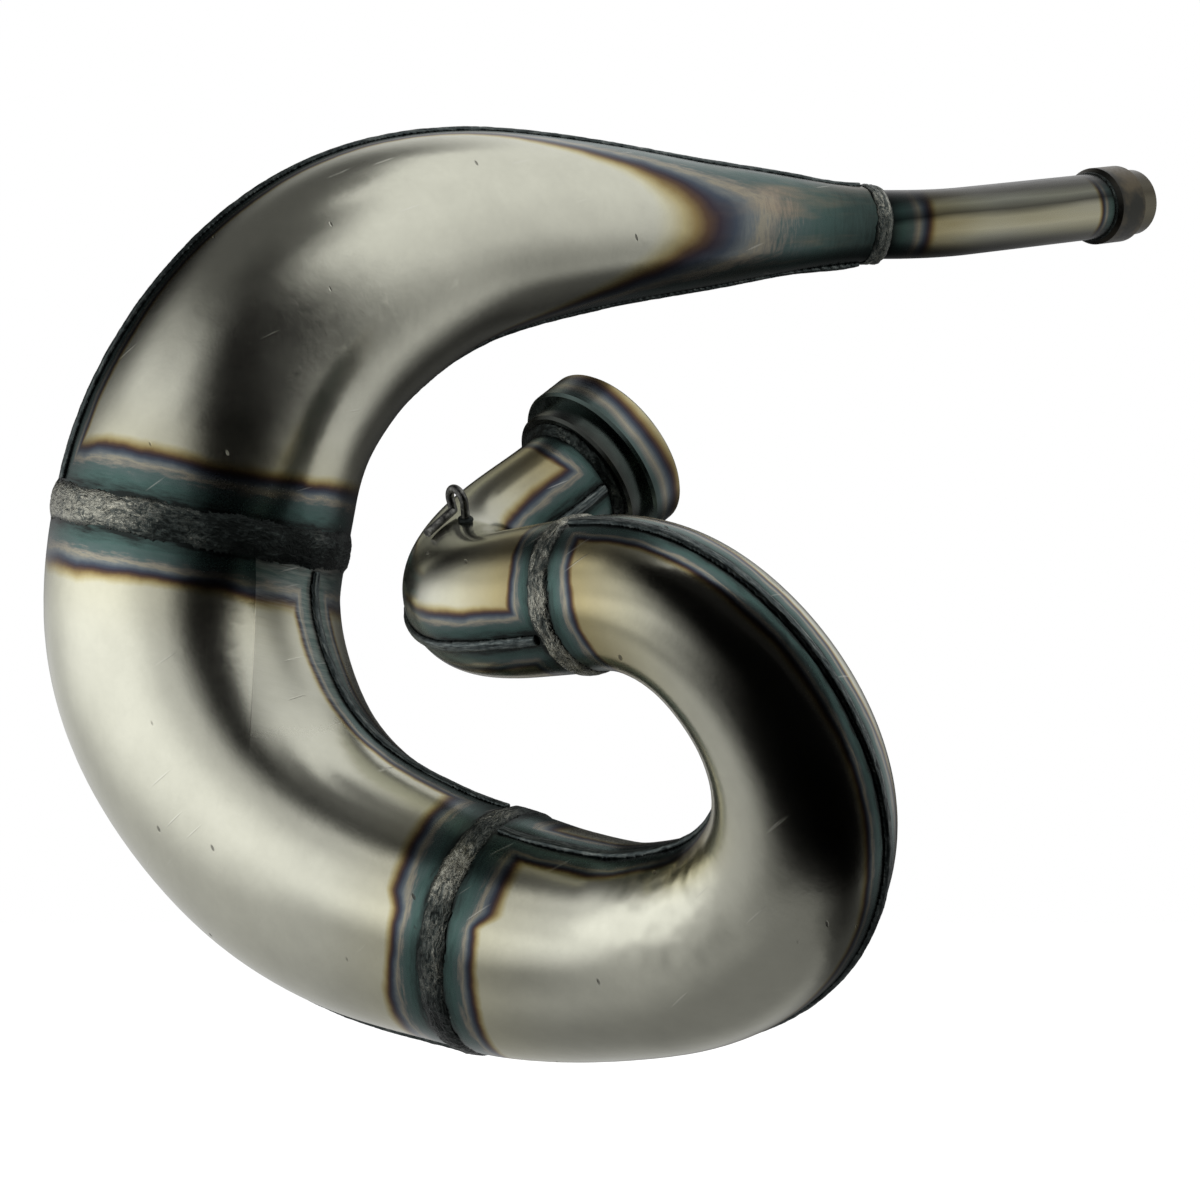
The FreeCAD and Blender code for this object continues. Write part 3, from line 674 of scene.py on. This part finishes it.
def bead(name, plane, voxel, lump, fibre, wander, thin):
    """A weld's own mesh, rough all over and seated in the sheet. Thin is how flat its edges are pressed."""
    made = even_skin(name, voxel)
    middle, axis, half_width = plane["middle"], plane["axis"], plane["half_width"]
    work = bmesh.new()
    work.from_mesh(made.data)
    every_axis = {"use_axis_x": True, "use_axis_y": True, "use_axis_z": True}
    bmesh.ops.smooth_vert(work, verts=work.verts, factor=0.5, **every_axis)
    work.normal_update()
    for vertex in work.verts:
        place = vertex.co.copy()
        side = (place - middle).dot(axis)
        vertex.co = wandered(place, axis, side, wander)
        near, _, _, gap = SHEET.find_nearest(vertex.co, FOOT_SEARCH)
        if near is not None and gap > 0:
            downwards = (near - vertex.co) / gap
            if gap < SEATED or vertex.normal.dot(downwards) > FACING_SHEET:
                vertex.co = near + downwards * FOOT_DEPTH
                continue
            edge = max(0.0, (abs(side) / half_width - EDGE_START) / (1 - EDGE_START)) ** 2
            vertex.co = vertex.co + downwards * gap * min(MOST_PRESSED, (edge + 0.3) * thin)
        vertex.co = vertex.co + vertex.normal * rise(place, axis, side, lump, fibre)
    work.to_mesh(made.data)
    work.free()
    made.data.shade_smooth()
    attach(made, "root")
    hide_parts(name)
    print(made.name, len(made.data.polygons), "faces")
    return made


# %% [markdown]
# A ring bead's metal is dark, fibrous along the weld and silver in patches. In the silver patches, thin
# bright lines run and curl over it: painted glints of the ripples. Along both edges, painted shade darkens
# the groove that parts it from the sheet. The noise is squeezed across the weld, so its fibres run along
# it.

# %% Bead metal
BEAD_COLOURS = [
    (0.36, (0.015, 0.018, 0.017)),
    (0.47, (0.045, 0.055, 0.052)),
    (0.57, (0.11, 0.12, 0.11)),
    (0.67, (0.34, 0.34, 0.29)),
]
# Colours of the painted glints and of the painted shade in the edge grooves.
RIDGE_GLINT_COLOUR = (0.86, 0.82, 0.66)
CURL_GLINT_COLOUR = (0.80, 0.78, 0.64)
GROOVE_SHADE_COLOUR = (0.02, 0.024, 0.023)
RING_VOXEL = 0.0006
RING_FIBRE = 0.0002
RING_BEADS = {
    "inlet": {"lump": 0.00045, "wander": 0.0003, "thin": 1.0, "silver": 0.40},
    "header": {"lump": 0.0004, "wander": 0.0010, "thin": 1.0, "silver": 0.70},
    "belly_front": {"lump": 0.0004, "wander": 0.0013, "thin": 1.0, "silver": 0.38},
    "belly_rear": {"lump": 0.0004, "wander": 0.0013, "thin": 1.0, "silver": 0.34},
    "outlet": {"lump": 0.00055, "wander": 0.0005, "thin": 0.5, "silver": 0.54},
}
BRIGHT_SPOTS = {
    "belly_front": {"middle": (-0.058, -0.043, -0.149), "radius": 0.015, "more": 0.40},
    "belly_rear": {"middle": (-0.195, 0.06, -0.01), "radius": 0.080, "more": 0.42},
}
SMALL_VOXEL = 0.0003
SMALL_FIBRE = 0.00005


def ring_metal(ring, silver):
    """Silver is the share of the bead that shines, apart from the spots where it is brighter."""
    recipe = recipe_for("ring_bead_" + ring)
    weld = RINGS[ring]
    half_width = weld["half_width"]
    swirl = recipe.grain(170.0, detail=4.0, roughness=0.62, place=recipe.fibres(weld, 2.0), swirl=2.2)
    thread = recipe.grain(210.0, detail=4.0, roughness=0.66, place=recipe.fibres(weld, 5.0), swirl=0.6)
    crust = recipe.grain(600.0, detail=3.0, roughness=0.6)
    patch = recipe.grain(28.0).fit(0.32, 0.68, silver - 0.30, silver + 0.26)
    if ring in BRIGHT_SPOTS:
        spot = BRIGHT_SPOTS[ring]
        radius = spot["radius"]
        patch = patch + recipe.away(spot["middle"]).ease(radius * 0.5, radius, spot["more"], 0.0)
    shine = thread * 0.34 + swirl * 0.46 + crust * 0.20 + (patch - 0.5) * 0.50
    tint = recipe.ramp(BEAD_COLOURS, shine)
    # Painted glints: thin bright lines on the bead's threads and swirl, where it is silver.
    ridge_glints = abs(thread - 0.51).ease(0.0, 0.016, 1.0, 0.0) * swirl.ease(0.50, 0.60) * patch.ease(0.25, 0.75)
    curl_glints = abs(swirl - 0.5).ease(0.0, 0.013, 1.0, 0.0) * patch.ease(0.30, 0.75)
    tint = recipe.mix(ridge_glints * 0.90, tint, RIDGE_GLINT_COLOUR)
    tint = recipe.mix(curl_glints * 0.70, tint, CURL_GLINT_COLOUR)
    # Painted shade: a dark line in the groove along each edge of the bead.
    across = recipe.from_plane(weld) + (recipe.grain(120.0) - 0.5) * 0.0016
    tint = recipe.mix(across.ease(half_width * 0.60, half_width * 0.92) * 0.85, tint, GROOVE_SHADE_COLOUR)
    normal = recipe.bump(swirl, 0.0013, 0.9)
    normal = recipe.bump(thread, 0.0005, 0.8, normal)
    normal = recipe.bump(crust, 0.00015, 0.7, normal)
    return recipe.metal(tint, shine.fit(0.4, 0.66, 0.44, 0.22), normal)


for ring, kind in RING_BEADS.items():
    made = bead(
        "ring_weld_" + ring,
        RINGS[ring],
        voxel=RING_VOXEL,
        lump=kind["lump"],
        fibre=RING_FIBRE,
        wander=kind["wander"],
        thin=kind["thin"],
    )
    made.data.materials.append(ring_metal(ring, kind["silver"]))

# The hook's weld has the header bead's metal, and its threads lie as the end collar's do.
SMALL_BEADS = {
    "ring_weld_end_collar": (0.0001, ring_metal("end_collar", 0.25)),
    "spring_hook_weld": (0.0003, bpy.data.materials["ring_bead_header"]),
}
for name, (lump, metal) in SMALL_BEADS.items():
    made = bead(name, RINGS["end_collar"], SMALL_VOXEL, lump, SMALL_FIBRE, wander=0.0, thin=0.0)
    made.data.materials.append(metal)

# %% [markdown]
# The seam welds are narrow raised lips. Their metal is smoother and darker than a ring's, and the lines
# of the two sheet edges run along it.

# %% Seam beads
SEAM_COLOURS = [
    (0.36, (0.02, 0.024, 0.024)),
    (0.50, (0.075, 0.092, 0.092)),
    (0.62, (0.17, 0.19, 0.18)),
    (0.72, (0.32, 0.33, 0.30)),
]
# Colour of the painted shade in the seam's grooves.
SEAM_GROOVE_SHADE = (0.02, 0.024, 0.024)
SEAM_VOXEL = 0.0005
SEAM_LUMP = 0.00010
SEAM_FIBRE = 0.00012
SEAM_WANDER = 0.00025


def seam_metal(section):
    """The metal of a section's two seam welds."""
    recipe = recipe_for("seam_bead_" + section)
    plane = PARTINGS[section]
    lines = recipe.grain(170.0, detail=4.0, roughness=0.7, place=recipe.fibres(plane, 9.0))
    crust = recipe.grain(420.0, detail=4.0, roughness=0.65)
    shine = lines * 0.75 + crust * 0.25
    tint = recipe.ramp(SEAM_COLOURS, shine)
    offset = recipe.from_plane(plane)
    # Painted shade: the grooves along the lip's two edges are darkened.
    groove = offset.ease(0.0013, 0.0019) * offset.ease(0.0026, 0.0031, 1.0, 0.0)
    tint = recipe.mix(groove * 0.45, tint, SEAM_GROOVE_SHADE)
    normal = recipe.bump(lines, 0.0003, 0.9)
    normal = recipe.bump(crust, 0.0001, 0.6, normal)
    return recipe.metal(tint, shine.fit(0.4, 0.65, 0.42, 0.30), normal)


for section in SECTIONS:
    metal = seam_metal(section)
    for side in ("inner", "outer"):
        name = "seam_weld_%s_%s" % (section, side)
        made = bead(name, PARTINGS[section], SEAM_VOXEL, SEAM_LUMP, SEAM_FIBRE, SEAM_WANDER, thin=0.0)
        made.data.materials.append(metal)

# %% [markdown]
# Satin steel is a mirror first, so the studio matters as much as the metal. Here a closed drum stands
# around the pipe like a white tent, and only reflections see it. It is painted in soft ovals. The dark
# ones give the steel its deep soft-edged shadows, and the bright ones its daylight. Most of them were
# fitted by a program to how bright the steel is in the photograph, then rounded and adjusted. So they
# tell what the steel mirrors, and not what stood in the real studio.

# %% Reflection tent
TENT_RADIUS = 0.45
TENT_BOTTOM = -1.6
TENT_TOP = 1.8
TENT_FACES = 128
# The drum is dim up to the first height and bright from the second.
SHADE_HEIGHTS = (-1.25, 0.70)
SHADE_LEVELS = (0.30, 0.92)
# Turns and leans are in degrees, a turn counted rightwards from the camera. A negative dark brightens.
OVALS = [
    {"turn": 20, "height": -0.40, "wide": 70, "tall": 0.41, "lean": -6, "soft": 0.40, "dark": 1.0},
    {"turn": 110, "height": -0.58, "wide": 80, "tall": 0.19, "lean": 44, "soft": 0.50, "dark": 0.80},
    {"turn": 12, "height": 0.00, "wide": 100, "tall": 0.22, "lean": -49, "soft": 0.45, "dark": 1.0},
    {"turn": -93, "height": 1.10, "wide": 114, "tall": 0.73, "lean": -73, "soft": 0.30, "dark": 0.84},
    {"turn": -145, "height": 0.17, "wide": 27, "tall": 0.37, "lean": -64, "soft": 0.45, "dark": 0.97},
    {"turn": 165, "height": -0.10, "wide": 30, "tall": 0.28, "lean": -30, "soft": 0.50, "dark": 0.80},
    {"turn": -82, "height": -0.05, "wide": 25, "tall": 0.17, "lean": 14, "soft": 0.55, "dark": -0.7},
    {"turn": -78, "height": 0.27, "wide": 29, "tall": 0.11, "lean": -4, "soft": 0.45, "dark": -0.7},
    {"turn": -38, "height": -0.18, "wide": 21, "tall": 0.12, "lean": 4, "soft": 0.45, "dark": -0.9},
]
DEPTH_OF_DARK = 1.2
TENT_LEVEL = 1.12


def hide_from_view(piece):
    """Leaves a piece of the studio to reflections alone."""
    piece.visible_camera = False
    piece.visible_diffuse = False
    piece.visible_shadow = False
    piece.visible_transmission = False


def oval_mask(recipe, turn, height, oval):
    """How dark one oval makes each place of the drum."""
    lean = math.radians(oval["lean"])
    half_width = math.radians(oval["wide"]) * TENT_RADIUS
    wrapped = recipe.maths("WRAP", turn - math.radians(oval["turn"]), math.pi, -math.pi)
    sideways = wrapped * TENT_RADIUS
    upwards = height - oval["height"]
    wide = (sideways * math.cos(lean) + upwards * math.sin(lean)) / half_width
    tall = (upwards * math.cos(lean) - sideways * math.sin(lean)) / oval["tall"]
    radius = (wide * wide + tall * tall) ** 0.5
    return radius.ease(1 - oval["soft"], 1 + oval["soft"], oval["dark"], 0.0)


def tent_paint():
    """The drum's inside, painted with the ovals."""
    recipe = recipe_for("tent_paint")
    height = recipe.along((0, 0, 0), (0, 0, 1))
    right = recipe.along((0, 0, 0), (1, 0, 0))
    front = recipe.along((0, 0, 0), (0, -1, 0))
    turn = recipe.maths("ARCTAN2", right, front)
    light = height.ease(*SHADE_HEIGHTS, *SHADE_LEVELS)
    for oval in OVALS:
        light = light * (1 - oval_mask(recipe, turn, height, oval))
    light = recipe.maths("MAXIMUM", light, 0.0) ** DEPTH_OF_DARK * TENT_LEVEL
    return recipe.close(recipe.node("Emission", None, {"Color": recipe.grey(light), "Strength": 1.0}))


def stage_piece(name, work, material):
    """A piece of the studio, which isn't part of the pipe."""
    mesh = bpy.data.meshes.new(name)
    work.to_mesh(mesh)
    work.free()
    mesh.materials.append(material)
    made = bpy.data.objects.new(name, mesh)
    bpy.context.scene.collection.objects.link(made)
    print("studio:", name)
    return made


work = bmesh.new()
bmesh.ops.create_cone(
    work,
    cap_ends=True,
    segments=TENT_FACES,
    radius1=TENT_RADIUS,
    radius2=TENT_RADIUS,
    depth=TENT_TOP - TENT_BOTTOM,
)
bmesh.ops.translate(work, verts=work.verts, vec=(0, 0, (TENT_TOP + TENT_BOTTOM) / 2))
hide_from_view(stage_piece("reflection_tent", work, tent_paint()))

# %% [markdown]
# The diffuser's outer side is black in the photograph, while the belly beside it mirrors the same
# direction as white. The drum can't give both. A narrow black oval card, close in front of the
# diffuser and seen by reflections alone, darkens the diffuser and leaves the belly bright. Its place
# came from a search by a program, so it is no measure of anything in the real studio either.

# %% Near card
CARD_MIDDLE = Vector((0.167, -0.222, -0.055))
CARD_LENGTHWISE = Vector((0.90, -0.12, -0.42)).normalized()
CARD_FACING = Vector((-0.43, -0.27, -0.86))
CARD_HALF_LENGTH = 0.205
CARD_HALF_WIDTH = 0.060
CARD_COLOUR = (0.006, 0.006, 0.006)
CARD_CORNERS = 64

recipe = recipe_for("near_black")
glow = recipe.node("Emission", None, {"Color": recipe.colour(CARD_COLOUR), "Strength": 1.0})
near_black = recipe.close(glow)
sideways = CARD_FACING.cross(CARD_LENGTHWISE).normalized()
facing = CARD_LENGTHWISE.cross(sideways)

work = bmesh.new()
bmesh.ops.create_circle(work, cap_ends=True, segments=CARD_CORNERS, radius=1.0)
turn = Matrix((CARD_LENGTHWISE * CARD_HALF_LENGTH, sideways * CARD_HALF_WIDTH, facing))
turn = turn.transposed().to_4x4()
turn.translation = CARD_MIDDLE
bmesh.ops.transform(work, matrix=turn, verts=work.verts)
hide_from_view(stage_piece("near_card", work, near_black))

# %% [markdown]
# The world is white to the camera, to reflections and to what shines through, and dimmer for what it
# lights. The floor glows for the same rays, and lamps and world bring it up to white. It lies well
# below, because the pipe hangs, keeps its soft shadow and stays out of the steel's reflections.

# %% World and floor
WORLD_DIM = 0.55
FLOOR_LEVEL = -0.45
FLOOR_SIZE = 6.0
FLOOR_COLOUR = (0.85, 0.85, 0.85)
FLOOR_GLOW = 0.56


def shown_rays(recipe):
    """1 for the rays that should find white."""
    camera_ray = recipe.node("LightPath", output="Is Camera Ray")
    shown = recipe.maths("MAXIMUM", camera_ray, camera_ray.beside("Is Glossy Ray"))
    return recipe.maths("MAXIMUM", shown, camera_ray.beside("Is Transmission Ray"))


world = bpy.data.worlds.new("studio")
bpy.context.scene.world = world
recipe = Recipe(world)
level = shown_rays(recipe).fit(0.0, 1.0, WORLD_DIM, 1.0)
recipe.close(recipe.node("Background", None, {"Color": recipe.grey(level), "Strength": 1.0}), "World")
print("world", world.name)

recipe = recipe_for("floor_white")
matt = recipe.node("BsdfDiffuse", None, {"Color": recipe.colour(FLOOR_COLOUR)})
shown_glow = recipe.grey(shown_rays(recipe) * FLOOR_GLOW)
glow = recipe.node("Emission", None, {"Color": shown_glow, "Strength": 1.0})
floor_white = recipe.close(recipe.node("AddShader", None, {0: matt, 1: glow}))

work = bmesh.new()
bmesh.ops.create_grid(work, x_segments=1, y_segments=1, size=FLOOR_SIZE / 2)
bmesh.ops.translate(work, verts=work.verts, vec=(0, 0, FLOOR_LEVEL))
floor = stage_piece("floor", work, floor_white)
floor.visible_glossy = False

# %% [markdown]
# Three soft lamps stand around the pipe: a large one from above on the left, a lower one from the
# right, and one from behind. The tent already gives the steel what it mirrors, so the lamps stay out
# of reflections. Their work is the matt floor and the soft shadow on it.

# %% Lamps
LAMPS = {
    "key": {"place": (-0.9, -0.8, 1.2), "watts": 10},
    "fill": {"place": (1.3, -0.6, 0.2), "watts": 5},
    "rim": {"place": (0.1, 1.3, 0.9), "watts": 6},
}
LAMP_SIZE = 0.8

for name, lamp in LAMPS.items():
    data = bpy.data.lights.new(name, "AREA")
    data.shape = "SQUARE"
    data.size = LAMP_SIZE
    data.energy = lamp["watts"]
    made = bpy.data.objects.new(name, data)
    made.location = lamp["place"]
    made.rotation_euler = (-Vector(lamp["place"])).to_track_quat("-Z", "Y").to_euler()
    made.visible_glossy = False
    bpy.context.scene.collection.objects.link(made)
    print("lamp", name, lamp["watts"], "W")

# %% [markdown]
# The colours are shown as they are, without a film look on top.

# %% Colour management
bpy.context.scene.view_settings.view_transform = "Standard"
